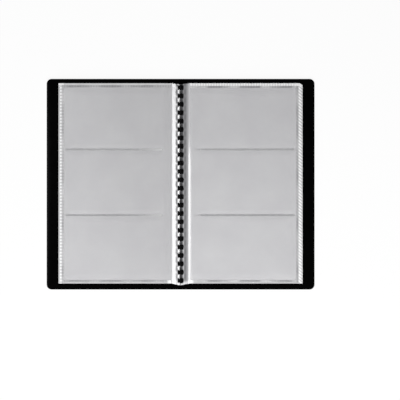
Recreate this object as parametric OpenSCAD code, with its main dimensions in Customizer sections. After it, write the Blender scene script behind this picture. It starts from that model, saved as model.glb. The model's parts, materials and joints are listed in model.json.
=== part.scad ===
// Business card book, lying open at its middle spread.
// Two covers swing on a spine strip. A comb on the spine carries the punched pocket leaves, half of them
// on each side, and each leaf face has three card pockets that open towards the gutter.
// Millimetres, +Z up. The origin is on the table under the middle of the spine, +X runs across the open
// book and +Y up the page. The front cover is on the left.

/* [Cover] */
// Height of the covers and the spine
cover_h = 190; // [185:1:240]
// Width of one cover, crease to fore edge
panel_w = 115; // [90:0.5:150]
// Distance between the two creases of the spine
spine_w = 11.6; // [11.2:0.1:16]
// Thickness of the cover sheet
cover_t = 1.2; // [1:0.1:1.6]
// Radius of the fore edge corners
corner_r = 4.5; // [1:0.5:12]
// Distance of the pressed score line from the crease
score_x = 6.8; // [4:0.1:15]
// Depth of the pressed score line
score_depth = 0.25; // [0.1:0.05:0.4]
// Distance of the fine pressed line from the fore edge
edge_line_x = 4.6; // [3:0.1:8]
// Depth of the fine pressed line
edge_line_depth = 0.1; // [0.05:0.05:0.2]

/* [Comb] */
// Number of fingers
finger_n = 24; // [10:1:24]
// Distance from one finger to the next
finger_pitch = 7.55; // [6:0.05:7.55]
// Width of a finger over its crown
finger_w = 4.5; // [4:0.1:4.8]
// How much narrower a finger is at its sides
finger_taper = 2.6; // [0.8:0.1:2.8]
// Outer radius of a finger's curl
curl_r = 2.45; // [2.4:0.05:2.9]
// Thickness of the comb's wall
comb_wall = 0.55; // [0.5:0.05:0.6]
// Width of the comb's foot on the spine
foot_w = 5; // [3:0.1:6]

/* [Leaves] */
// Leaves on each side of the open book
side_leaves = 5; // [4:1:5]
// Height of a leaf
leaf_h = 180.2; // [180:0.1:183]
// How far the leaves sit towards the head of the book
leaf_rise = 0.7; // [0.4:0.1:0.9]
// Thickness of the middle sheet
sheet_t = 0.12; // [0.1:0.01:0.14]
// Thickness of a pocket film
film_t = 0.06; // [0.05:0.01:0.08]
// Room for a card in a pocket
pocket_gap = 0.26; // [0.2:0.01:0.3]
// Distance of the pocket mouths from the gutter
mouth_x = 8.2; // [8.2:0.1:12]
// Width of the seam along the fore edge
fore_seam = 4.8; // [2:0.1:6]
// Width of the seams along the head and the foot
end_seam = 3.2; // [2:0.1:5]
// Width of the seams between pockets
mid_seam = 1.5; // [1:0.1:3]
// Distance from one seam between pockets to the other
pocket_pitch = 59.1; // [50:0.1:60]
// How far the seams between pockets sit towards the head
pocket_rise = 0.9; // [0:0.1:1.2]
// How far the seams between pockets stop short of the pocket mouths
seam_stop = 5.4; // [0:0.1:10]
// How far the inner corner of a leaf is cut back at the head
head_drop = 1; // [0.5:0.1:1]
// How far the inner corner of a leaf runs on past the foot
foot_drop = 1.5; // [0.8:0.1:2]

/* [Hidden] */
$fn = 48;
// Clearances: leaf to leaf, lowest leaf to cover, the two top leaves when closed, and leaf edge to cover
// edge when closed
leaf_gap = 0.04;
stack_gap = 0.17;
centre_gap = 0.07;
fore_gap = 0.4;
// Clearances of a punched hole round its finger, across and along the gutter
hole_slip = 0.28;
hole_side = 0.2;
// The seams of one pocket face stay this far apart, as separate bars
seam_break = 0.1;

// A leaf is a middle sheet with a pocket film on each face
leaf_t = sheet_t + 2 * (pocket_gap + film_t);
leaf_pitch = leaf_t + leaf_gap;
// Height of the axis that the comb's fingers curl round and the leaves turn on
axis_z = cover_t + stack_gap + (side_leaves - 1) * leaf_pitch + leaf_t + centre_gap;
// Distance of the leaves' fore edge from the gutter
leaf_reach = panel_w + cover_t / 2 - axis_z - fore_gap;

// A cover's crease edge is a round bead on the hinge axis, a little thinner than the sheet, and the spine
// stays clear of it
bead_in = 0.04;
bead_r = cover_t / 2 - bead_in;
bead_gap = 0.1;
spine_edge = spine_w / 2 - cover_t / 2 - bead_gap;
// The pressed lines are cut by a round bar that sinks into the cover's outside
line_r = 0.9;

// Comb: angles run from +X towards +Z, so 270 is straight down to the foot
curl_in = curl_r - comb_wall;
band_half = 28;
band_from = 270 - band_half;
band_to = 270 + band_half;
tip_slit = 12;
tip_at = band_to + tip_slit - 360;
root_lap = 10;
comb_end = 1.1;
comb_l = (finger_n - 1) * finger_pitch + finger_w + 2 * comb_end;
foot_t = 0.6;
neck_w = 2.2;
// The band is a little thicker than the fingers on both faces
band_lip = 0.04;
// The outline of a finger seen from above is drawn with this many flats on each half
outline_flats = 3;
outline_x = curl_r + 0.1;

// Binding margin: it leaves the flat sheet at bend_x, and from strip_x inwards it is a flat punched strip
bend_x = 8;
strip_x = 3.6;
bend_steps = 8;
strip_drop = 0.5;
strip_pitch = 0.15;
hole_l = finger_w + 2 * hole_side;
edge_w = 0.4;

leaf_n = 2 * side_leaves;
LEAF_PIECES = ["sheet", "margin", "front_film", "back_film", "seams"];

function leaf_node(i, piece) = str("leaf_", i < 10 ? "0" : "", i, "_", piece);
// Leaves count from the front cover: the first half lie on the left, and depth 1 is the top leaf of its side
function is_left(i) = i <= side_leaves;
function depth(i) = is_left(i) ? side_leaves + 1 - i : i - side_leaves;
function leaf_z(d) = axis_z - centre_gap - leaf_t / 2 - (d - 1) * leaf_pitch;
function finger_y(i) = (i - (finger_n - 1) / 2) * finger_pitch;
// Half the width of a finger at a distance from the gutter, seen from above
function finger_half(x) = (finger_w - finger_taper * pow(x / curl_r, 2)) / 2;
// Depth of a punched strip under the axis, and where its holes start and end across the gutter
function strip_s(d) = strip_drop + (d - 1) * strip_pitch;
function hole_from(d) = sqrt(pow(curl_in, 2) - pow(strip_s(d) + sheet_t / 2, 2)) - hole_slip;
function hole_to(d) = sqrt(pow(curl_r, 2) - pow(strip_s(d) - sheet_t / 2, 2)) + hole_slip;
function ease(t) = t * t * (3 - 2 * t);
// Middle line of a binding margin, from the flat sheet to its free edge in the comb
function margin_line(d) = concat(
    [for (j = [0:bend_steps])
        let (t = j / bend_steps)
        [bend_x + (strip_x - bend_x) * t, leaf_z(d) + (axis_z - strip_s(d) - leaf_z(d)) * ease(t)]],
    [[hole_from(d) - edge_w, axis_z - strip_s(d)]]
);

// Draws a shape made for the right half on the side asked for
module on_side(left) {
    mirror([left ? 1 : 0, 0, 0]) children();
}

module panel_outline() {
    translate([0, -cover_h / 2]) square([panel_w - corner_r, cover_h]);
    translate([0, corner_r - cover_h / 2]) square([panel_w, cover_h - 2 * corner_r]);
    for (end = [-1, 1])
        translate([panel_w - corner_r, end * (cover_h / 2 - corner_r)]) circle(corner_r);
}

module bar_along_y(r, length) {
    rotate([90, 0, 0]) cylinder(r = r, h = length, center = true);
}

// A round bar that presses a line of this depth into the outside of a cover
module line_bar(x, depth) {
    translate([x, 0, depth - line_r]) bar_along_y(line_r, cover_h + 2);
}

// One cover: a stiff sheet with rounded fore edge corners, a bead at the crease and two lines pressed outside
module cover_panel() {
    translate([spine_w / 2, 0, 0]) difference() {
        union() {
            linear_extrude(cover_t) panel_outline();
            translate([0, 0, cover_t / 2]) bar_along_y(bead_r, cover_h);
        }
        line_bar(score_x, score_depth);
        line_bar(panel_w - edge_line_x, edge_line_depth);
    }
}

module front_cover() {
    color("#1e1e1e") on_side(true) cover_panel();
}

module back_cover() {
    color("#1e1e1e") on_side(false) cover_panel();
}

module spine_strip() {
    color("#1e1e1e") translate([-spine_edge, -cover_h / 2, 0]) cube([2 * spine_edge, cover_h, cover_t]);
}

// Part of the comb's tube round the leaf axis, centred along the gutter; lip thickens both of its faces
module curl(from, to, length, lip) {
    translate([0, length / 2, 0]) rotate([90, 0, 0]) rotate([0, 0, from])
        rotate_extrude(angle = to - from) translate([curl_in - lip, 0]) square([comb_wall + 2 * lip, length]);
}

// A finger curls up from the left edge of the band, over the gutter and back down to a free tip beside it
module finger() {
    edge = [for (j = [-outline_flats:outline_flats])
        let (x = outline_x * j / outline_flats)
        [x, finger_half(x)]];
    intersection() {
        curl(tip_at, band_from + root_lap, finger_w + 1, 0);
        linear_extrude(2 * curl_r + 1, center = true)
            polygon(concat(edge, [for (j = [len(edge) - 1:-1:0]) [edge[j][0], -edge[j][1]]]));
    }
}

module binding_comb() {
    neck_top = axis_z - (curl_r + curl_in) / 2 + comb_wall / 6;
    color("#141414") {
        translate([-foot_w / 2, -comb_l / 2, cover_t]) cube([foot_w, comb_l, foot_t]);
        translate([-neck_w / 2, -comb_l / 2, cover_t]) cube([neck_w, comb_l, neck_top - cover_t]);
        translate([0, 0, axis_z]) curl(band_from, band_to, comb_l, band_lip);
        for (i = [0:finger_n - 1])
            translate([0, finger_y(i), axis_z]) finger();
    }
}

// A flat bar or film of a leaf, from x0 to x1 across and y0 to y1 up the leaf, its foot at z0
module leaf_bar(x0, x1, y0, y1, z0, t) {
    translate([x0, leaf_rise - leaf_h / 2 + y0, z0]) cube([x1 - x0, y1 - y0, t]);
}

module leaf_sheet(i) {
    color("#d2d2d4") on_side(is_left(i))
        leaf_bar(bend_x, leaf_reach, 0, leaf_h, leaf_z(depth(i)) - sheet_t / 2, sheet_t);
}

// Cuts a margin off along a line that falls by drop from the bend to its inner edge, on the side of the
// line where far_y lies
module slant_cut(edge_x, drop, far_y) {
    slope = drop / (bend_x - edge_x);
    linear_extrude(axis_z)
        polygon([[edge_x - 1, -drop - slope], [bend_x + 1, slope], [bend_x + 1, far_y], [edge_x - 1, far_y]]);
}

// The sheet runs on past the pockets, bends to the comb and is punched once for each finger. Its head and
// foot edges slant down towards the gutter
module leaf_margin(i) {
    d = depth(i);
    line = margin_line(d);
    last = len(line) - 1;
    upper = [for (p = line) p + [0, sheet_t / 2]];
    lower = [for (j = [last:-1:0]) line[j] - [0, sheet_t / 2]];
    edge_x = line[last][0];
    head_y = leaf_rise + leaf_h / 2;
    foot_y = head_y - leaf_h;
    color("#d8d8da") on_side(is_left(i)) difference() {
        translate([0, head_y, 0]) rotate([90, 0, 0])
            linear_extrude(leaf_h + 2 * foot_drop) polygon(concat(upper, lower));
        for (f = [0:finger_n - 1])
            translate([hole_from(d), finger_y(f) - hole_l / 2, axis_z - strip_s(d) - sheet_t])
                cube([hole_to(d) - hole_from(d), hole_l, 2 * sheet_t]);
        translate([0, head_y, 0]) slant_cut(edge_x, head_drop, 1);
        translate([0, foot_y, 0]) slant_cut(edge_x, foot_drop, -1 - 2 * foot_drop);
    }
}

// One clear film over the three pockets of a leaf face
module leaf_film(i, upper) {
    z0 = leaf_z(depth(i)) + (upper ? sheet_t / 2 + pocket_gap : -sheet_t / 2 - pocket_gap - film_t);
    color("#c8c8cc", 0.6) on_side(is_left(i)) leaf_bar(mouth_x, leaf_reach, 0, leaf_h, z0, film_t);
}

// The welded seams of both faces: fore edge, head, foot and between the pockets
module leaf_seams(i) {
    inner_x = leaf_reach - fore_seam;
    bar_x = inner_x - seam_break;
    color("#e4e4e6") on_side(is_left(i)) for (upper = [true, false]) {
        z0 = leaf_z(depth(i)) + (upper ? sheet_t / 2 : -sheet_t / 2 - pocket_gap);
        leaf_bar(inner_x, leaf_reach, 0, leaf_h, z0, pocket_gap);
        leaf_bar(mouth_x, bar_x, 0, end_seam, z0, pocket_gap);
        leaf_bar(mouth_x, bar_x, leaf_h - end_seam, leaf_h, z0, pocket_gap);
        for (side = [-1, 1]) {
            mid = leaf_h / 2 + pocket_rise + side * pocket_pitch / 2;
            leaf_bar(mouth_x + seam_stop, bar_x, mid - mid_seam / 2, mid + mid_seam / 2, z0, pocket_gap);
        }
    }
}

front_cover();
spine_strip();
back_cover();
binding_comb();
for (i = [1:leaf_n]) {
    leaf_sheet(i);
    leaf_margin(i);
    // On the left a leaf shows its back face, on the right its front face
    leaf_film(i, !is_left(i));
    leaf_film(i, is_left(i));
    leaf_seams(i);
}
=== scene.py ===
import json
import math
from collections import namedtuple

import bmesh
import bpy
from mathutils import Matrix, Vector
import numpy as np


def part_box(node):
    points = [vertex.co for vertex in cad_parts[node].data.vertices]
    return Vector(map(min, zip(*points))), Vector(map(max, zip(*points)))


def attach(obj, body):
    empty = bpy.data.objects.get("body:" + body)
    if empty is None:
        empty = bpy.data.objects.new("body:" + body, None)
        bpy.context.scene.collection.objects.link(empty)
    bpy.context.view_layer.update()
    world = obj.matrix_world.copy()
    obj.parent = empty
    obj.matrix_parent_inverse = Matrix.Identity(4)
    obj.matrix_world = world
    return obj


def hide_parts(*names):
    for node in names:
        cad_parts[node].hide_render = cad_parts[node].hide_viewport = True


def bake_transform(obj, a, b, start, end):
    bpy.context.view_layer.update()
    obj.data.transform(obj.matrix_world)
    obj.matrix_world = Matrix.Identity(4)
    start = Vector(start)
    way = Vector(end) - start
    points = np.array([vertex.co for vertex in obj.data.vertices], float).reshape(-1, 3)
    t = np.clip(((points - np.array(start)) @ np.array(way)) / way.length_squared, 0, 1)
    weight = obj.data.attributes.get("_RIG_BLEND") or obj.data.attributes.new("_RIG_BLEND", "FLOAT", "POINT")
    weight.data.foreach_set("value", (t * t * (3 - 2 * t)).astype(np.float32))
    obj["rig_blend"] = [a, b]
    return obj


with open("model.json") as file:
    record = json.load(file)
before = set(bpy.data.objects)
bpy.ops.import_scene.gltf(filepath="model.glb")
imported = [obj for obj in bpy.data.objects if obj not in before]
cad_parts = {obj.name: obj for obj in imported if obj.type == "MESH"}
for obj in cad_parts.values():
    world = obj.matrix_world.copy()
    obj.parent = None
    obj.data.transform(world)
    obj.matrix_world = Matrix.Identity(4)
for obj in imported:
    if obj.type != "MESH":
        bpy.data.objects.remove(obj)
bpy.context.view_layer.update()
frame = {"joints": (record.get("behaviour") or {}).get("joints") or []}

# A business card book lying open: two black covers on a spine strip, a black comb along the gutter and
# five pocket leaves on each side. Lengths are in millimetres until a piece is finished. Leaves and covers
# are shaped for the right half, with x measured out from the gutter, and turned over for the left half.
MM = 0.001


def corners(node):
    """Lowest and highest corner of a node of the frame."""
    low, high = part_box(node)
    return low / MM, high / MM


def ease(t):
    """From 0 to 1 with a soft start and end."""
    t = min(max(t, 0.0), 1.0)
    return t * t * (3 - 2 * t)


def ramp(t, bend=0.2):
    """From 0 to 1 with a straight middle and a short bend at each end."""
    t = min(max(t, 0.0), 1.0)
    if t > 1 - bend:
        return 1 - (1 - t) ** 2 / (2 * bend * (1 - bend))
    if t < bend:
        return t ** 2 / (2 * bend * (1 - bend))
    return (t - bend / 2) / (1 - bend)


def inward(place, start, length):
    """0 as far in as start, then from 0 to 1 over a length towards the gutter or the foot."""
    return ease((start - place) / length)


def stripe(x, middle, half):
    """1 along a line beside the gutter, fading out over the last millimetre of half its width."""
    return ease(half - abs(x - middle))


# Sizes that the frame gives
COVER_LOW, COVER_HIGH = corners("back_cover")
SPINE_LOW, SPINE_HIGH = corners("spine_strip")
COMB_LOW, COMB_HIGH = corners("binding_comb")
SHEET_LOW, SHEET_HIGH = corners("leaf_06_sheet")
BACK_HINGE = next(joint for joint in frame["joints"] if joint["name"] == "back_cover_hinge")
COVER_T = SPINE_HIGH.z
HINGE_X = BACK_HINGE["pos_m"][0] / MM
HINGE_Z = COVER_T / 2
LEAF_REACH = SHEET_HIGH.x
LEAF_FOOT = SHEET_LOW.y
LEAF_HEAD = SHEET_HIGH.y
LEAF_MID = (LEAF_FOOT + LEAF_HEAD) / 2
MOUTH_X = corners("leaf_06_front_film")[0].x

# Covers and creases
CREASE_GAP = 0.7  # from a hinge line to the full sheet of a cover
CORNER_R = 4.5  # fore edge corners of a cover
COVER_ROUND = 0.28  # rounding of a cover's edges
SPINE_ROUND = 0.25
OUTSIDE_TOP = 0.35  # what lies below this height is the outside
SCORE_LINE = (HINGE_X + 6.8, 0.65, 0.25)  # place, half width and depth of the line beside the crease
FORE_LINE = (COVER_HIGH.x - 4.6, 0.45, 0.1)  # the same for the fine line inside the fore edge
CREASE_LAP = 0.35  # how far a crease strip runs into the sheet at either side
CREASE_THIN = 0.26  # what a crease strip lacks in thickness on each face
CREASE_WAIST = 0.82  # share of its thickness that is left on the hinge line
CREASE_HALF = 0.8  # half the width of that thinner waist
CREASE_STEP = 0.1
BEND_HALF = 0.6  # half the width that bends as a cover turns

# Comb, with angles in degrees round the leaf axis from +X towards +Z
CURL_OUT = 2.45
CURL_IN = 1.9
AXIS_Z = COMB_HIGH.z - CURL_OUT
FINGERS = 24
FINGER_PITCH = 7.55
FINGER_W = 4.8  # width of a finger at its crown
FINGER_TAPER = 3.3  # what it loses in width towards its sides, mostly near them
TAPER_POWER = 1.7
FINGER_LEAN = 0.24  # how far it leans to the right, reached over the lowest LEAN_RISE of the curl
LEAN_RISE = 2.0
FINGER_START = 252
FINGER_SWEEP = -302
FINGER_END = FINGER_START + FINGER_SWEEP
FINGER_ROUND = 0.24
FINGER_STEPS = 36
TIP_SPAN = 12  # degrees over which the tip narrows by TIP_TAPER
TIP_TAPER = 0.3
BAND_LIP = 0.04  # how far the band stands proud of the fingers inside and outside
BAND_START = 242
BAND_SWEEP = 56
BAND_ROUND = 0.1
BAND_STEPS = 10
COMB_FOOT_HALF = 2.5
COMB_FOOT_T = 0.6
NECK_HALF = 1.1
NECK_LAP = 0.2  # how far the neck runs into the foot and the band
BAR_ROUND = 0.12

# Leaves
LEAVES_A_SIDE = 5
SHEET_T = 0.12
FILM_T = 0.06
FORE_SEAM = 4.8
FOOT_SEAM = 3.0
SEAM_MID = LEAF_MID + 0.9  # the middle pocket lies a little towards the head
POCKET_HALF = 29.55  # half the way between the two dividing seams
SEAM_Y = [SEAM_MID - POCKET_HALF, SEAM_MID + POCKET_HALF]
CORNER_X = 2.6  # cut at the head corner of the right leaves
CORNER_Y = 1.8

# Punched holes, one for each finger, rounded as a superellipse of power HOLE_POWER
HOLE_HALF = 2.45
HOLE_POWER = 2.6
HOLE_RIM = 0.4  # sheet left between the holes and the free edge of a covered leaf
TOP_PLAY = 0.3  # room round a finger in the top leaf
PLAY = 0.58  # and in the leaves below it

# Bends of the margins between the pockets and the comb
TOP_UNDER = 0.5  # how far under the leaf axis the top leaf's holes lie
UNDER = 0.46  # and those of the leaves below it, with UNDER_STEP more for each leaf
UNDER_STEP = 0.16
SINK = 0.78  # how far the top leaf sinks into the valley beside its pockets
HEAD_FLAT = 0.5  # share of that which a right leaf lacks at its head, reached over HEAD_FLAT_L
HEAD_FLAT_FROM = 16
HEAD_FLAT_L = 40
BRIM = 5.04  # height that the top leaf climbs to
CLIMB_BEND = 0.12  # share of the climb that each of its end bends takes
CLIMB_ON = 1.0  # how much further in the sheet climbs beside a finger than on a land
LAND_BLEND = 0.36  # share of the pitch over which the sheet beside a finger turns into a land
LAND_CURL = 0.39  # how far a land curls up at its free edge
LAND_CURL_FROM = 2.8
LAND_CURL_L = 1.7
LAND_DIP_OUT = 0.3  # how far outside the crest a land starts to dip
LAND_DIP_L = 1.3
DRAWN_FROM = 8.0  # inside this the ends of the margin are drawn towards the foot
HEAD_DROP = 1.0  # how far, at the head end of the free edge
FOOT_DROP = 1.5  # and at its foot end

# What differs between the two halves of the book: the valley's middle, the length of the slope down to it,
# the crest beside the comb, the dip of a land, the top leaf's free edge, the widths of the fore edge seam,
# the head seam and its rim, how unevenly the bar pressed, and where a dividing seam starts to fade and how
# long that takes
Half = namedtuple("Half", "valley slope crest dip edge fore_seam head_seam head_rim uneven fade_from fade_l")
LEFT_HALF = Half(valley=8.0, slope=7.0, crest=3.9, dip=0.26, edge=0.5, fore_seam=FORE_SEAM,
                 head_seam=3.7, head_rim=1.7, uneven=0.16, fade_from=46, fade_l=34)
RIGHT_HALF = Half(valley=6.4, slope=3.9, crest=3.2, dip=0.12, edge=0.05, fore_seam=FORE_SEAM + 0.8,
                  head_seam=4.3, head_rim=2.3, uneven=0.36, fade_from=22, fade_l=14)

# Pocket films and welds
FILM_GAP = 0.02  # between a film and the sheet along the seams
SHOWN_LIFT = 0.26  # how far a film stands off in the middle of a pocket
COVERED_LIFT = 0.16
FORE_RISE = 7.0  # how far from the fore edge seam a film stands off in full
END_RISE = 6.0  # and from the head and foot seams
DIVIDER_RISE = 5.0  # and from the dividing seams
MOUTH_FREE_FROM = 20  # inside this the dividing seams let go of the film, over MOUTH_FREE_L
MOUTH_FREE_L = 9
SEAM_LIFT = 0.1
SEAM_T = 0.06
TOOTH_RISE = 0.05
FORE_PITCH = 2.8
END_PITCH = 2.4
SLANT_L = 3.6  # the bar met the right leaves askew: their dots slip by a pitch over this width
FORE_RIM = 1.3
FOOT_RIM = 1.7
DARK_LINE = 1.9  # dashed line along the inside of the fore edge seam
BAR_END = 13.5  # the foot bar ends here, and its weld turns frosted over FROSTED_L
FROSTED_L = 3.5
END_SEAM_IN = 0.3  # gap between the pocket mouths and the head and foot seams
DIVIDER_FROM = 12.0
DIVIDER_SHORT = 1.5  # gap between a dividing seam and the fore edge seam
DIVIDER_HALF = 0.8


# Materials

def linear(hex_colour):
    parts = [int(hex_colour[i:i + 2], 16) / 255 for i in (1, 3, 5)]
    return [c / 12.92 if c <= 0.04045 else ((c + 0.055) / 1.055) ** 2.4 for c in parts] + [1.0]


def add(tree, kind, settings=None, links=None):
    made = tree.nodes.new(kind)
    for key, value in (settings or {}).items():
        if isinstance(key, int) or key in made.inputs:
            made.inputs[key].default_value = value
        else:
            setattr(made, key, value)
    for key, source in (links or {}).items():
        tree.links.new(source, made.inputs[key])
    return made


def new_material(name):
    material = bpy.data.materials.new(name)
    material.use_nodes = True
    material.node_tree.nodes.clear()
    return material, material.node_tree


def per_mm(size):
    """Texture scale for a pattern of this size in millimetres on coordinates in metres."""
    return 1000.0 / size


def black_sheet(name, dark, light, grain, depth, roughness, specular):
    # Extruded polypropylene sheet, coloured in the mass and rolled between embossed rolls: a fine pebbled
    # grain that breaks up the reflections, with a slow cloudy change of gloss and paler scuffs where it has
    # been handled. The real grain is finer and is drawn coarser, so that it shows
    material, tree = new_material(name)
    place = add(tree, "ShaderNodeTexCoord")
    pebble = add(tree, "ShaderNodeTexVoronoi",
                 {"feature": "SMOOTH_F1", "Scale": per_mm(grain), "Smoothness": 0.6},
                 {"Vector": place.outputs["Object"]})
    cloud = add(tree, "ShaderNodeTexNoise", {"Scale": per_mm(38.0), "Detail": 5.0, "Roughness": 0.6},
                {"Vector": place.outputs["Object"]})
    scuff = add(tree, "ShaderNodeTexNoise", {"Scale": per_mm(3.2), "Detail": 3.0, "Distortion": 0.4},
                {"Vector": place.outputs["Object"]})
    tone = add(tree, "ShaderNodeMix", {"data_type": "RGBA", 6: linear(dark), 7: linear(light)},
               {0: cloud.outputs["Fac"]})
    gloss = add(tree, "ShaderNodeMapRange",
                {"From Min": 0.3, "From Max": 0.7, "To Min": roughness - 0.05, "To Max": roughness + 0.07},
                {"Value": scuff.outputs["Fac"]})
    bump = add(tree, "ShaderNodeBump", {"Strength": 0.5, "Distance": depth * MM},
               {"Height": pebble.outputs["Distance"]})
    skin = add(tree, "ShaderNodeBsdfPrincipled", {"IOR": 1.49, "Specular IOR Level": specular},
               {"Base Color": tone.outputs[2], "Roughness": gloss.outputs["Result"],
                "Normal": bump.outputs["Normal"]})
    add(tree, "ShaderNodeOutputMaterial", None, {"Surface": skin.outputs["BSDF"]})
    return material


def comb_plastic():
    # Comb stock, a polyvinyl chloride sheet cut and curled warm: deep black, even sheen, faint drag lines
    # along the curl from the forming bar
    material, tree = new_material("comb_formed_pvc")
    place = add(tree, "ShaderNodeTexCoord")
    stretch = add(tree, "ShaderNodeMapping", {"Scale": (1.0, 6.0, 1.0)}, {"Vector": place.outputs["Object"]})
    drag = add(tree, "ShaderNodeTexNoise", {"Scale": per_mm(1.6), "Detail": 3.0},
               {"Vector": stretch.outputs["Vector"]})
    tone = add(tree, "ShaderNodeMix", {"data_type": "RGBA", 6: linear("#050505"), 7: linear("#0c0c0d")},
               {0: drag.outputs["Fac"]})
    gloss = add(tree, "ShaderNodeMapRange", {"To Min": 0.46, "To Max": 0.62}, {"Value": drag.outputs["Fac"]})
    bump = add(tree, "ShaderNodeBump", {"Strength": 0.3, "Distance": 0.02 * MM},
               {"Height": drag.outputs["Fac"]})
    skin = add(tree, "ShaderNodeBsdfPrincipled", {"IOR": 1.5, "Specular IOR Level": 0.08},
               {"Base Color": tone.outputs[2], "Roughness": gloss.outputs["Result"],
                "Normal": bump.outputs["Normal"]})
    add(tree, "ShaderNodeOutputMaterial", None, {"Surface": skin.outputs["BSDF"]})
    return material


def film(name, dark, light, single, alpha, roughness, ripple):
    # Cast polypropylene film: milky grey where layers lie on each other, mixed towards a darker colour by a
    # vertex attribute that holds see-through darkening over the spine and painted shade and highlights; a
    # slow mottle from uneven cooling, and long soft ripples
    material, tree = new_material(name)
    place = add(tree, "ShaderNodeTexCoord")
    mottle = add(tree, "ShaderNodeTexNoise", {"Scale": per_mm(24.0), "Detail": 4.0, "Roughness": 0.55},
                 {"Vector": place.outputs["Object"]})
    haze = add(tree, "ShaderNodeTexNoise", {"Scale": per_mm(2.2), "Detail": 2.0},
               {"Vector": place.outputs["Object"]})
    tone = add(tree, "ShaderNodeMix", {"data_type": "RGBA", 6: linear(dark), 7: linear(light)},
               {0: mottle.outputs["Fac"]})
    # this attribute is partly real see-through darkening and partly painted shade; where it is lowered it is
    # a painted highlight
    see_through_and_shade = add(tree, "ShaderNodeAttribute", {"attribute_name": "single"})
    backed = add(tree, "ShaderNodeMix", {"data_type": "RGBA", 7: linear(single)},
                 {0: see_through_and_shade.outputs["Fac"], 6: tone.outputs[2]})
    gloss = add(tree, "ShaderNodeMapRange", {"To Min": roughness - 0.06, "To Max": roughness + 0.06},
                {"Value": haze.outputs["Fac"]})
    bump = add(tree, "ShaderNodeBump", {"Strength": 0.25, "Distance": ripple * MM},
               {"Height": mottle.outputs["Fac"]})
    skin = add(tree, "ShaderNodeBsdfPrincipled", {"IOR": 1.49, "Specular IOR Level": 0.69, "Alpha": alpha},
               {"Base Color": backed.outputs[2], "Roughness": gloss.outputs["Result"],
                "Normal": bump.outputs["Normal"]})
    add(tree, "ShaderNodeOutputMaterial", None, {"Surface": skin.outputs["BSDF"]})
    return material


def welded_film():
    # Film welded by a hot knurled bar: the pressed lands are clear and look darker, the teeth between them
    # stay frosted and pale. The tooth attribute of a seam says which is which
    material, tree = new_material("film_hot_bar_weld")
    place = add(tree, "ShaderNodeTexCoord")
    tooth = add(tree, "ShaderNodeAttribute", {"attribute_name": "tooth"})
    patchy = add(tree, "ShaderNodeTexNoise", {"Scale": per_mm(5.0), "Detail": 4.0, "Roughness": 0.7},
                 {"Vector": place.outputs["Object"]})
    pressed = add(tree, "ShaderNodeMix", {"data_type": "RGBA", 6: linear("#7e7e81"), 7: linear("#a8a8aa")},
                  {0: patchy.outputs["Fac"]})
    tone = add(tree, "ShaderNodeMix", {"data_type": "RGBA", 7: linear("#f9f9f9")},
               {0: tooth.outputs["Fac"], 6: pressed.outputs[2]})
    gloss = add(tree, "ShaderNodeMapRange", {"To Min": 0.22, "To Max": 0.5}, {"Value": tooth.outputs["Fac"]})
    skin = add(tree, "ShaderNodeBsdfPrincipled", {"IOR": 1.49},
               {"Base Color": tone.outputs[2], "Roughness": gloss.outputs["Result"]})
    add(tree, "ShaderNodeOutputMaterial", None, {"Surface": skin.outputs["BSDF"]})
    return material


COVER_OUTSIDE = black_sheet("cover_outside_grained_polypropylene", "#19191a", "#242425",
                            grain=1.1, depth=0.05, roughness=0.5, specular=0.4)
COVER_INSIDE = black_sheet("cover_inside_smooth_polypropylene", "#020202", "#030303",
                           grain=2.0, depth=0.008, roughness=0.28, specular=0.03)
COMB = comb_plastic()
# the third colour is the dark tone of the sheet over the black spine, also used for painted shade in the
# gutter
LEAF_SHEET = film("leaf_frosted_polypropylene_sheet", "#dadadc", "#e8e8e9", "#4a4a4d",
                  alpha=1.0, roughness=0.24, ripple=0.12)
POCKET_FILM = film("pocket_cast_polypropylene_film", "#d7d6d9", "#e5e5e6", "#d7d6d9",
                   alpha=0.42, roughness=0.2, ripple=0.1)
WELD = welded_film()


# Mesh tools

SHARP_EDGE = 35.0  # degrees past which an edge isn't shaded smooth


def finish(bm, name, body, materials, nodes, left=False):
    """Turns a mesh made for the right half into a piece of the book."""
    if left:
        bmesh.ops.scale(bm, vec=(-1, 1, 1), verts=bm.verts)
    bmesh.ops.scale(bm, vec=(MM, MM, MM), verts=bm.verts)
    bmesh.ops.remove_doubles(bm, verts=bm.verts, dist=1e-7)
    bmesh.ops.recalc_face_normals(bm, faces=bm.faces)
    mesh = bpy.data.meshes.new(name)
    bm.to_mesh(mesh)
    bm.free()
    for material in materials:
        mesh.materials.append(material)
    mesh.shade_smooth()
    mesh.set_sharp_from_angle(angle=math.radians(SHARP_EDGE))
    piece = bpy.data.objects.new(name, mesh)
    bpy.context.collection.objects.link(piece)
    if body:
        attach(piece, body)
    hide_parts(*nodes)
    return piece


def block(bm, low, high):
    """A box between two corners; returns its vertices."""
    made = bmesh.ops.create_cube(bm, size=1.0)["verts"]
    low, high = Vector(low), Vector(high)
    bmesh.ops.scale(bm, vec=high - low, verts=made)
    bmesh.ops.translate(bm, vec=(low + high) / 2, verts=made)
    return made


def round_off(bm, edges, radius, segments):
    bmesh.ops.bevel(bm, geom=edges, offset=radius, segments=segments, profile=0.5,
                    affect="EDGES", material=-1)


def cut(bm, x):
    """Adds a line of edges across a mesh at this x."""
    bmesh.ops.bisect_plane(bm, geom=bm.verts[:] + bm.edges[:] + bm.faces[:],
                           plane_co=(x, 0, 0), plane_no=(1, 0, 0))


def grid(bm, xs, ys):
    """A flat grid with its columns at xs and its rows at ys; returns its vertices."""
    made = bmesh.ops.create_grid(bm, x_segments=len(xs) - 1, y_segments=len(ys) - 1, size=0.5)["verts"]
    for v in made:
        v.co.x = xs[round((v.co.x + 0.5) * (len(xs) - 1))]
        v.co.y = ys[round((v.co.y + 0.5) * (len(ys) - 1))]
    return made


def steps(start, end, size):
    """Evenly spaced values from start to end, about size apart."""
    n = max(1, round((end - start) / size))
    return [start + (end - start) * i / n for i in range(n + 1)]


# Covers and spine

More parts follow.
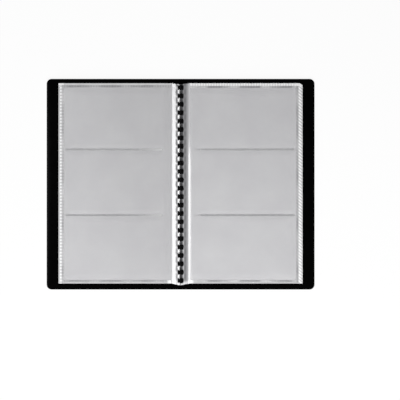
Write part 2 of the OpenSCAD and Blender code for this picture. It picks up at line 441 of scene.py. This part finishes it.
def paint_faces(bm, height):
    """Gives the outside finish to the faces below a height, and the inside finish to the others."""
    for f in bm.faces:
        f.material_index = 0 if f.calc_center_median().z < height else 1


def is_level(edge):
    return edge.verts[0].co.z == edge.verts[1].co.z


def cover(name, left):
    bm = bmesh.new()
    block(bm, (HINGE_X + CREASE_GAP, COVER_LOW.y, 0), (COVER_HIGH.x, COVER_HIGH.y, COVER_T))
    upright = [e for e in bm.edges if not is_level(e)]
    round_off(bm, [e for e in upright if e.verts[0].co.x > COVER_HIGH.x / 2], CORNER_R, 10)
    rim = [e for e in bm.edges if is_level(e) and e.calc_face_angle(0) > math.radians(45)]
    round_off(bm, rim, COVER_ROUND, 3)
    # the two lines are pressed into the outside
    for middle, half, depth in (SCORE_LINE, FORE_LINE):
        for shift in (-half, -half / 2, 0, half / 2, half):
            cut(bm, middle + shift)
        for v in bm.verts:
            if v.co.z < OUTSIDE_TOP and abs(v.co.x - middle) < half:
                v.co.z += depth * (1 - ((v.co.x - middle) / half) ** 2)
    paint_faces(bm, OUTSIDE_TOP)
    finish(bm, name + "_sheet", name, [COVER_OUTSIDE, COVER_INSIDE], [name], left)


def crease(name, cover_body, left):
    # The thinned bend between the spine and a cover, all one sheet with both
    bm = bmesh.new()
    block(bm, (SPINE_HIGH.x - CREASE_LAP, COVER_LOW.y, CREASE_THIN),
          (HINGE_X + CREASE_GAP + CREASE_LAP, COVER_HIGH.y, COVER_T - CREASE_THIN))
    for x in steps(SPINE_HIGH.x - CREASE_STEP, HINGE_X + CREASE_GAP, CREASE_STEP):
        cut(bm, x)
    for v in bm.verts:
        flare = ease(abs(v.co.x - HINGE_X) / CREASE_HALF)
        v.co.z = HINGE_Z + (v.co.z - HINGE_Z) * (CREASE_WAIST + (1 - CREASE_WAIST) * flare)
    paint_faces(bm, HINGE_Z)
    piece = finish(bm, name, None, [COVER_OUTSIDE, COVER_INSIDE], [], left)
    side = -1 if left else 1
    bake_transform(piece, "spine", cover_body, (side * (HINGE_X - BEND_HALF) * MM, 0, HINGE_Z * MM),
             (side * (HINGE_X + BEND_HALF) * MM, 0, HINGE_Z * MM))


def spine():
    bm = bmesh.new()
    block(bm, (SPINE_LOW.x, SPINE_LOW.y, 0), (SPINE_HIGH.x, SPINE_HIGH.y, COVER_T))
    round_off(bm, [e for e in bm.edges if is_level(e)], SPINE_ROUND, 3)
    paint_faces(bm, OUTSIDE_TOP)
    finish(bm, "spine_sheet", "spine", [COVER_OUTSIDE, COVER_INSIDE], ["spine_strip"])


# Comb

def finger_y(i):
    return (i - (FINGERS - 1) / 2) * FINGER_PITCH


def finger_half(x):
    """Half the width of a finger at a distance from the gutter, seen from above."""
    return (FINGER_W - FINGER_TAPER * (abs(x) / CURL_OUT) ** TAPER_POWER) / 2


def curl(bm, low_r, high_r, length, start, sweep, rounding, count):
    """Sweeps a bar with rounded edges, which lies along the gutter, round the leaf axis."""
    made = grid(bm, [low_r, high_r], [-length / 2, length / 2])
    rounded = bmesh.ops.bevel(bm, geom=made, offset=rounding, segments=3, profile=0.5,
                              affect="VERTICES", material=-1)["verts"]
    section = rounded[0].link_faces[0]
    made = section.verts[:]
    before = set(bm.verts) - set(made)
    bmesh.ops.rotate(bm, verts=made, cent=(0, 0, 0), matrix=Matrix.Rotation(math.radians(-start), 3, "Y"))
    bmesh.ops.spin(bm, geom=made + section.edges[:] + [section], cent=(0, 0, 0), axis=(0, 1, 0),
                   angle=math.radians(-sweep), steps=count, use_merge=False)
    return [v for v in bm.verts if v not in before]


def comb():
    # One finger: a strip curled from the band over the gutter to a free tip, narrower at its sides
    bm = bmesh.new()
    strip = curl(bm, CURL_IN, CURL_OUT, FINGER_W, FINGER_START, FINGER_SWEEP, FINGER_ROUND, FINGER_STEPS)
    for v in strip:
        angle = math.degrees(math.atan2(v.co.z, v.co.x))
        near_tip = FINGER_END - TIP_SPAN < angle < 0
        tip = ease((FINGER_END + TIP_SPAN - angle) / TIP_SPAN) if near_tip else 0
        v.co.y *= 2 * finger_half(v.co.x) / FINGER_W * (1 - TIP_TAPER * tip)
        v.co.x += FINGER_LEAN * ease((v.co.z + CURL_OUT) / LEAN_RISE)
    bmesh.ops.translate(bm, vec=(0, finger_y(0), AXIS_Z), verts=strip)
    first = bm.verts[:] + bm.edges[:] + bm.faces[:]
    for i in range(1, FINGERS):
        copied = bmesh.ops.duplicate(bm, geom=first)["geom"]
        moved = [v for v in copied if isinstance(v, bmesh.types.BMVert)]
        bmesh.ops.translate(bm, vec=(0, i * FINGER_PITCH, 0), verts=moved)
    # The band that the fingers grow from, on a neck and a flat foot
    length = COMB_HIGH.y - COMB_LOW.y
    band = curl(bm, CURL_IN - BAND_LIP, CURL_OUT + BAND_LIP, length, BAND_START, BAND_SWEEP, BAND_ROUND,
                BAND_STEPS)
    bmesh.ops.translate(bm, vec=(0, 0, AXIS_Z), verts=band)
    for half, low_z, high_z in ((COMB_FOOT_HALF, COVER_T, COVER_T + COMB_FOOT_T),
                                (NECK_HALF, COVER_T + NECK_LAP, AXIS_Z - CURL_IN - NECK_LAP)):
        bar = set(block(bm, (-half, COMB_LOW.y, low_z), (half, COMB_HIGH.y, high_z)))
        round_off(bm, [e for e in bm.edges if e.verts[0] in bar], BAR_ROUND, 2)
    finish(bm, "comb", "spine", [COMB], ["binding_comb"])


# Leaves

class Leaf:
    """Where a leaf lies and how it bends. Leaves 1 to 5 lie on the left, 6 to 10 on the right."""

    def __init__(self, number):
        self.left = number <= LEAVES_A_SIDE
        # 1 for the top leaf of a side, which is the one that shows
        self.depth = LEAVES_A_SIDE + 1 - number if self.left else number - LEAVES_A_SIDE
        self.top = self.depth == 1
        self.half = LEFT_HALF if self.left else RIGHT_HALF
        self.name = f"leaf_{number:02d}"
        low, high = corners(self.name + "_sheet")
        self.level = (low.z + high.z) / 2
        self.sink = SINK * (LEAVES_A_SIDE + 1 - self.depth) / LEAVES_A_SIDE
        under = TOP_UNDER if self.top else UNDER + UNDER_STEP * self.depth
        self.brim = BRIM if self.top else AXIS_Z - under
        # the holes lie where the curl passes at this height
        play = TOP_PLAY if self.top else PLAY
        self.hole_from = math.sqrt(CURL_IN ** 2 - (under + SHEET_T / 2) ** 2) - play
        self.hole_to = math.sqrt(CURL_OUT ** 2 - (under - SHEET_T / 2) ** 2) + play
        self.hole_mid = (self.hole_from + self.hole_to) / 2
        # the two leaves of the open spread nearly meet in the gutter
        self.inner = self.half.edge if self.top else self.hole_from - HOLE_RIM

    def on_land(self, y):
        """0 beside a finger and 1 on the land between two fingers; a covered leaf is all land."""
        if not self.top:
            return 1.0
        return ease((0.5 - abs((y - finger_y(0)) / FINGER_PITCH % 1.0 - 0.5)) / LAND_BLEND)

    def sheet_z(self, x, y):
        """Height of the sheet, which sinks into a valley beside the pockets and climbs again to the comb."""
        valley, crest = self.half.valley, self.half.crest
        sink = self.sink
        if not self.left:
            # the right leaves lie flatter towards the head
            sink *= 1 - HEAD_FLAT * ease((y - HEAD_FLAT_FROM) / HEAD_FLAT_L)
        if x >= valley:
            return self.level - sink * ramp((valley + self.half.slope - x) / self.half.slope)
        # beside a finger the sheet climbs on to the hole; a land levels out, dips and curls up to its edge
        climb = (self.brim - self.level + sink) / (valley - crest)
        beside, between = [climb * (valley - end) * ramp((valley - x) / (valley - end), CLIMB_BEND)
                           for end in (crest - CLIMB_ON, crest)]
        if self.top:
            between += LAND_CURL * ramp((LAND_CURL_FROM - x) / LAND_CURL_L)
            between -= self.half.dip * ramp((crest + LAND_DIP_OUT - x) / LAND_DIP_L)
        return self.level - sink + beside + (between - beside) * self.on_land(y)

    def end_shift(self, x, y):
        """How far the inner corners past the end holes are drawn towards the foot."""
        reach = max(0.0, (DRAWN_FROM - x) / (DRAWN_FROM - self.inner))
        last = finger_y(FINGERS - 1) + HOLE_HALF
        end, drop = (LEAF_HEAD, HEAD_DROP) if y > 0 else (-LEAF_FOOT, FOOT_DROP)
        return -drop * reach * ramp((abs(y) - last) / (end - last))

    def from_hole(self, place):
        """The nearest finger's y, and how far a place is from its hole's middle, 1 being the hole's edge."""
        nearest = finger_y(min(max(round((place.y - finger_y(0)) / FINGER_PITCH), 0), FINGERS - 1))
        across = abs(place.x - self.hole_mid) / (self.hole_to - self.hole_mid)
        along = abs(place.y - nearest) / HOLE_HALF
        return nearest, (across ** HOLE_POWER + along ** HOLE_POWER) ** (1 / HOLE_POWER)

    def single(self, x, y):
        """How dark the sheet is painted: partly its see-through darkening over the black spine where no other
        layers back it, 0 where they do, and partly painted shade and painted highlights beside the comb and
        at the foot.
        """
        # darker outside the pocket mouths: partly the sheet seen through over the black spine, partly painted
        # shade on the margin slopes
        see_through_and_shade = 0.36 * inward(x, MOUTH_X + 0.4, 1.2)
        if self.left:
            # painted shade: the left sheet darker towards the gutter, standing in for the light falling off
            # away from the lamp on the left
            see_through_and_shade = max(see_through_and_shade, 0.25 * inward(x, 95, 60))
            # painted highlight: lighter near the curled free edge of each land; painted shade along the fold
            # of each land, less towards the foot
            see_through_and_shade *= 1 - 0.8 * inward(x, 2.8, 0.8)
            see_through_and_shade += (0.34 - 0.16 * inward(y, 0, 40)) * self.on_land(y) * stripe(x, 3.6, 1.4)
        else:
            # painted shade: darker towards the comb, with a painted highlight along the inner fold of each
            # land, stronger towards the foot, and painted shade along the outer fold
            see_through_and_shade += 0.36 * inward(x, MOUTH_X, 4) + 0.24 * inward(x, 2.5, 0.8)
            pale = 0.04 + 0.36 * inward(y, 40, 110)
            see_through_and_shade -= pale * self.on_land(y) * stripe(x, 2.4, 1.2)
            see_through_and_shade += 0.1 * self.on_land(y) * stripe(x, 4.1, 1.3)
        # painted highlight: paler over the last few millimetres at the foot
        return see_through_and_shade * ease((y - LEAF_FOOT) / 3.5)

    def freedom(self, x, y):
        """How free a pocket film is: 0 along the seams and 1 in the middle of a pocket and at its mouth."""
        gap = min((LEAF_REACH - self.half.fore_seam - x) / FORE_RISE,
                  (y - LEAF_FOOT - FOOT_SEAM) / END_RISE,
                  (LEAF_HEAD - self.half.head_seam - y) / END_RISE)
        mouth = inward(x, MOUTH_FREE_FROM, MOUTH_FREE_L)
        for seam_y in SEAM_Y:
            gap = min(gap, abs(y - seam_y) / DIVIDER_RISE + mouth)
        return ease(gap)

    def flat(self, bm, xs, ys):
        """A flat grid for this leaf, with the head corner taken off a right leaf; returns its faces."""
        made = grid(bm, xs, ys)
        faces = list(dict.fromkeys(f for v in made for f in v.link_faces))
        if self.left:
            return faces
        edges = list(dict.fromkeys(e for v in made for e in v.link_edges))
        kept = bmesh.ops.bisect_plane(bm, geom=made + edges + faces, clear_outer=True,
                                      plane_co=(LEAF_REACH - CORNER_X, LEAF_HEAD, 0),
                                      plane_no=(CORNER_Y, CORNER_X, 0))["geom"]
        return [f for f in kept if isinstance(f, bmesh.types.BMFace)]


def middle_sheet(leaf):
    # The sheet with its punched margin, in a fine grid as far as margin_end and a coarse one past it
    bm = bmesh.new()
    fine = 0.22 if leaf.top else 0.6
    margin_end = 14.0
    coarse = 14.0
    xs = steps(leaf.inner, leaf.hole_from, fine) + steps(leaf.hole_from, leaf.hole_to, fine)[1:]
    xs += steps(leaf.hole_to, margin_end, fine)[1:] + steps(margin_end, LEAF_REACH, coarse)[1:]
    row_gap = FINGER_PITCH / (20 if leaf.top else 8)
    foot_gap = 0.05
    ys = steps(LEAF_FOOT, finger_y(0) - HOLE_HALF, foot_gap)
    for i in range(FINGERS):
        y = finger_y(i)
        land_end = y + FINGER_PITCH - HOLE_HALF if i < FINGERS - 1 else LEAF_HEAD
        ys += steps(y - HOLE_HALF, y + HOLE_HALF, row_gap)[1:]
        ys += steps(y + HOLE_HALF, land_end, row_gap)[1:]
    leaf.flat(bm, xs, ys)
    holes = [f for f in bm.faces if leaf.from_hole(f.calc_center_median())[1] < 1]
    bmesh.ops.delete(bm, geom=holes, context="FACES")
    # the stepped edges that are left round the holes move on to the rounded outline
    for v in bm.verts:
        nearest, apart = leaf.from_hole(v.co)
        at_holes = leaf.inner < v.co.x < leaf.hole_to + 0.5 and v.co.y > LEAF_FOOT + 0.01
        if v.is_boundary and apart < 1.5 and at_holes:
            v.co.x = leaf.hole_mid + (v.co.x - leaf.hole_mid) / apart
            v.co.y = nearest + (v.co.y - nearest) / apart
    # per-vertex darkening of the sheet: see-through over the spine, with painted shade and painted highlights
    see_through_and_shade = bm.verts.layers.float.new("single")
    for v in bm.verts:
        v[see_through_and_shade] = leaf.single(v.co.x, v.co.y)
        v.co.z = leaf.sheet_z(v.co.x, v.co.y)
        v.co.y += leaf.end_shift(v.co.x, v.co.y)
    bmesh.ops.solidify(bm, geom=bm.faces[:], thickness=SHEET_T)
    finish(bm, leaf.name + "_middle_sheet", leaf.name, [LEAF_SHEET],
           [leaf.name + "_sheet", leaf.name + "_margin"], leaf.left)


def pocket_films(leaf):
    # Films pressed flat along the seams and free at the mouths, in a finer grid as far as mouth_end
    mouth_end = 24
    xs = steps(MOUTH_X, mouth_end, 1.0 if leaf.top else 4.0)
    xs += steps(mouth_end, LEAF_REACH, 2.5 if leaf.top else 12.0)[1:]
    ys = steps(LEAF_FOOT, LEAF_HEAD, 0.75 if leaf.top else 4.0)
    # side is 1 on the upper face of the leaf and -1 on the lower one
    for face, side in (("front", -1 if leaf.left else 1), ("back", 1 if leaf.left else -1)):
        lift = SHOWN_LIFT if leaf.top and side == 1 else COVERED_LIFT
        bm = bmesh.new()
        leaf.flat(bm, xs, ys)
        for v in bm.verts:
            off = SHEET_T / 2 + FILM_T / 2 + FILM_GAP + lift * leaf.freedom(v.co.x, v.co.y)
            v.co.z = leaf.sheet_z(v.co.x, v.co.y) + side * off
        bmesh.ops.solidify(bm, geom=bm.faces[:], thickness=FILM_T)
        finish(bm, f"{leaf.name}_{face}_pocket", leaf.name, [POCKET_FILM],
               [f"{leaf.name}_{face}_film"], leaf.left)


# The next three say how frosted a weld is at a place, from 0 on a pressed land to 1 on a tooth

def fore_teeth(leaf, x, y):
    # A plain rim, a row of raised dots and a dashed dark line inside it, which the bar pressed unevenly
    across = LEAF_REACH - x
    askew = 0 if leaf.left else -across / SLANT_L
    wave = ease(0.5 + 0.5 * math.cos(2 * math.pi * (y / FORE_PITCH + askew)))
    press = 0.5 + 0.3 * math.sin(y / 7.1) + 0.2 * math.sin(y / 3.3)
    if LEAF_HEAD - y < leaf.half.head_rim:
        return 0.85
    if across < FORE_RIM:
        return 0.46 if leaf.left else 0.3 + 0.4 * wave
    if across < leaf.half.fore_seam - DARK_LINE:
        return 0.47 + 0.53 * wave
    return (0.1 if leaf.left else 0.0) + 0.25 * (1 - press) + 0.1 * wave


def end_teeth(leaf, x, y):
    # A pale rim and an uneven dark land, left frosted at the foot where the bar ends
    across = min(LEAF_HEAD - y, y - LEAF_FOOT)
    wave = 0.5 + 0.5 * math.cos(2 * math.pi * x / END_PITCH)
    press = ease(0.62 + 0.6 * math.cos((x - 31) / 5) + 0.25 * math.sin(x / 2.1))
    land = 0.1 * wave + leaf.half.uneven * (1 - press)
    if y > LEAF_MID:
        rim = 0.46 if leaf.left else 0.6 + 0.35 * wave
        return rim if across < leaf.half.head_rim else land
    return max(inward(x, BAR_END, FROSTED_L), 0.34 if across < FOOT_RIM else land)


def divider_teeth(leaf, x, y):
    # A dark line that fades out towards the pocket mouths
    return (0.15 if y > 0 else 0.09) + 0.27 * inward(x, leaf.half.fade_from, leaf.half.fade_l)


def weld_strip(bm, leaf, side, xs, ys, frosted):
    """Lays a knurled strip a little proud of the pressed film on one face of a leaf."""
    tooth = bm.verts.layers.float["tooth"]
    faces = leaf.flat(bm, xs, ys)
    for v in {v for f in faces for v in f.verts}:
        v[tooth] = frosted(leaf, v.co.x, v.co.y)
        rise = SEAM_LIFT + TOOTH_RISE * v[tooth]
        v.co.z = leaf.sheet_z(v.co.x, v.co.y) + side * (SHEET_T / 2 + rise)
    bmesh.ops.solidify(bm, geom=faces, thickness=SEAM_T)


def weld_seams(leaf):
    bm = bmesh.new()
    bm.verts.layers.float.new("tooth")
    inside = LEAF_REACH - leaf.half.fore_seam
    for side in (1, -1):
        # only the seams that show need a grid that is fine enough for their teeth
        size = 0.3 if leaf.top and side == 1 else 3.0
        weld_strip(bm, leaf, side, steps(inside, LEAF_REACH, size), steps(LEAF_FOOT, LEAF_HEAD, size * 1.2),
                   fore_teeth)
        for start, end in ((LEAF_FOOT, LEAF_FOOT + FOOT_SEAM), (LEAF_HEAD - leaf.half.head_seam, LEAF_HEAD)):
            weld_strip(bm, leaf, side, steps(MOUTH_X + END_SEAM_IN, inside, size * 2),
                       steps(start, end, size), end_teeth)
        for seam_y in SEAM_Y:
            weld_strip(bm, leaf, side, steps(DIVIDER_FROM, inside - DIVIDER_SHORT, size * 2),
                       steps(seam_y - DIVIDER_HALF, seam_y + DIVIDER_HALF, size), divider_teeth)
    finish(bm, leaf.name + "_weld_seams", leaf.name, [WELD], [leaf.name + "_seams"], leaf.left)


cover("front_cover", True)
cover("back_cover", False)
spine()
crease("front_crease", "front_cover", True)
crease("back_crease", "back_cover", False)
comb()
for leaf_number in range(1, 2 * LEAVES_A_SIDE + 1):
    made_leaf = Leaf(leaf_number)
    middle_sheet(made_leaf)
    pocket_films(made_leaf)
    weld_seams(made_leaf)


# Studio in metres: a pale floor, a soft lamp from the left, a weaker one from the foot and a dim room
FLOOR_HALF = 4.0
FLOOR_DROP = 0.0003
WHITE = "#ffffff"
PAPER_GLOW = 0.9  # share of plain white in what the camera sees of the floor; the rest holds the shadow
ROOM_STRENGTH = 0.116
# name, place, size, watts and whether the films mirror it
LAMPS = (("key_lamp", (-0.86, 0.0, 1.46), (0.5, 0.32), 9.4, True),
         ("foot_lamp", (0.05, -0.64, 0.52), (0.7, 0.7), 8.3, False))
CAMERA_X = 17.5 * MM
CAMERA_Y = -14.25 * MM
CAMERA_HEIGHT = 1.6
SENSOR = 36.0
PICTURE = 400  # pixels across the picture
PIXEL = 0.902  # millimetres that a pixel takes in on the covers


def floor_material():
    # Matt seamless paper, which the camera sees as white with the shadow left on it
    material, tree = new_material("studio_paper")
    place = add(tree, "ShaderNodeTexCoord")
    fibre = add(tree, "ShaderNodeTexNoise", {"Scale": per_mm(4.0), "Detail": 3.0},
                {"Vector": place.outputs["Object"]})
    tone = add(tree, "ShaderNodeMix", {"data_type": "RGBA", 6: linear("#f4f4f4"), 7: linear("#f8f8f8")},
               {0: fibre.outputs["Fac"]})
    paper = add(tree, "ShaderNodeBsdfDiffuse", None, {"Color": tone.outputs[2]})
    glow = add(tree, "ShaderNodeEmission", {"Color": linear(WHITE), "Strength": 1.0})
    path = add(tree, "ShaderNodeLightPath")
    seen = add(tree, "ShaderNodeMath", {"operation": "MAXIMUM"},
               {0: path.outputs["Is Camera Ray"], 1: path.outputs["Is Transmission Ray"]})
    seen = add(tree, "ShaderNodeMath", {"operation": "MAXIMUM"},
               {0: seen.outputs[0], 1: path.outputs["Is Glossy Ray"]})
    share = add(tree, "ShaderNodeMath", {"operation": "MULTIPLY", 1: PAPER_GLOW}, {0: seen.outputs[0]})
    mixed = add(tree, "ShaderNodeMixShader", None,
                {0: share.outputs[0], 1: paper.outputs["BSDF"], 2: glow.outputs["Emission"]})
    add(tree, "ShaderNodeOutputMaterial", None, {"Surface": mixed.outputs["Shader"]})
    return material


def lay_floor():
    bm = bmesh.new()
    bmesh.ops.create_grid(bm, x_segments=1, y_segments=1, size=FLOOR_HALF)
    bmesh.ops.translate(bm, vec=(0, 0, -FLOOR_DROP), verts=bm.verts)
    mesh = bpy.data.meshes.new("floor")
    bm.to_mesh(mesh)
    bm.free()
    mesh.materials.append(floor_material())
    floor = bpy.data.objects.new("floor", mesh)
    bpy.context.collection.objects.link(floor)


def light_room():
    # The room lights the book dimly, and the camera sees it as white
    world = bpy.data.worlds.new("room")
    bpy.context.scene.world = world
    world.use_nodes = True
    tree = world.node_tree
    tree.nodes.clear()
    path = add(tree, "ShaderNodeLightPath")
    dim = add(tree, "ShaderNodeBackground", {"Color": linear(WHITE), "Strength": ROOM_STRENGTH})
    white = add(tree, "ShaderNodeBackground", {"Color": linear(WHITE), "Strength": 1.0})
    mixed = add(tree, "ShaderNodeMixShader", None,
                {0: path.outputs["Is Camera Ray"], 1: dim.outputs["Background"],
                 2: white.outputs["Background"]})
    add(tree, "ShaderNodeOutputWorld", None, {"Surface": mixed.outputs["Shader"]})


def hang_lamps():
    for name, place, size, watts, mirrored in LAMPS:
        lamp = bpy.data.lights.new(name, "AREA")
        lamp.shape = "RECTANGLE"
        lamp.size, lamp.size_y = size
        lamp.energy = watts
        stand = bpy.data.objects.new(name, lamp)
        stand.location = place
        stand.rotation_euler = (-Vector(place)).to_track_quat("-Z", "Y").to_euler()
        stand.visible_glossy = mirrored
        bpy.context.collection.objects.link(stand)


def set_camera():
    # Straight above, with the book a little left of and above the middle of the picture
    lens = bpy.data.cameras.new("camera")
    lens.sensor_width = SENSOR
    lens.lens = SENSOR * (CAMERA_HEIGHT - COVER_T * MM) / (PIXEL * PICTURE * MM)
    camera = bpy.data.objects.new("camera", lens)
    bpy.context.collection.objects.link(camera)
    camera.location = (CAMERA_X, CAMERA_Y, CAMERA_HEIGHT)
    bpy.context.scene.camera = camera


lay_floor()
light_room()
hang_lamps()
set_camera()
bpy.context.scene.view_settings.view_transform = "Standard"
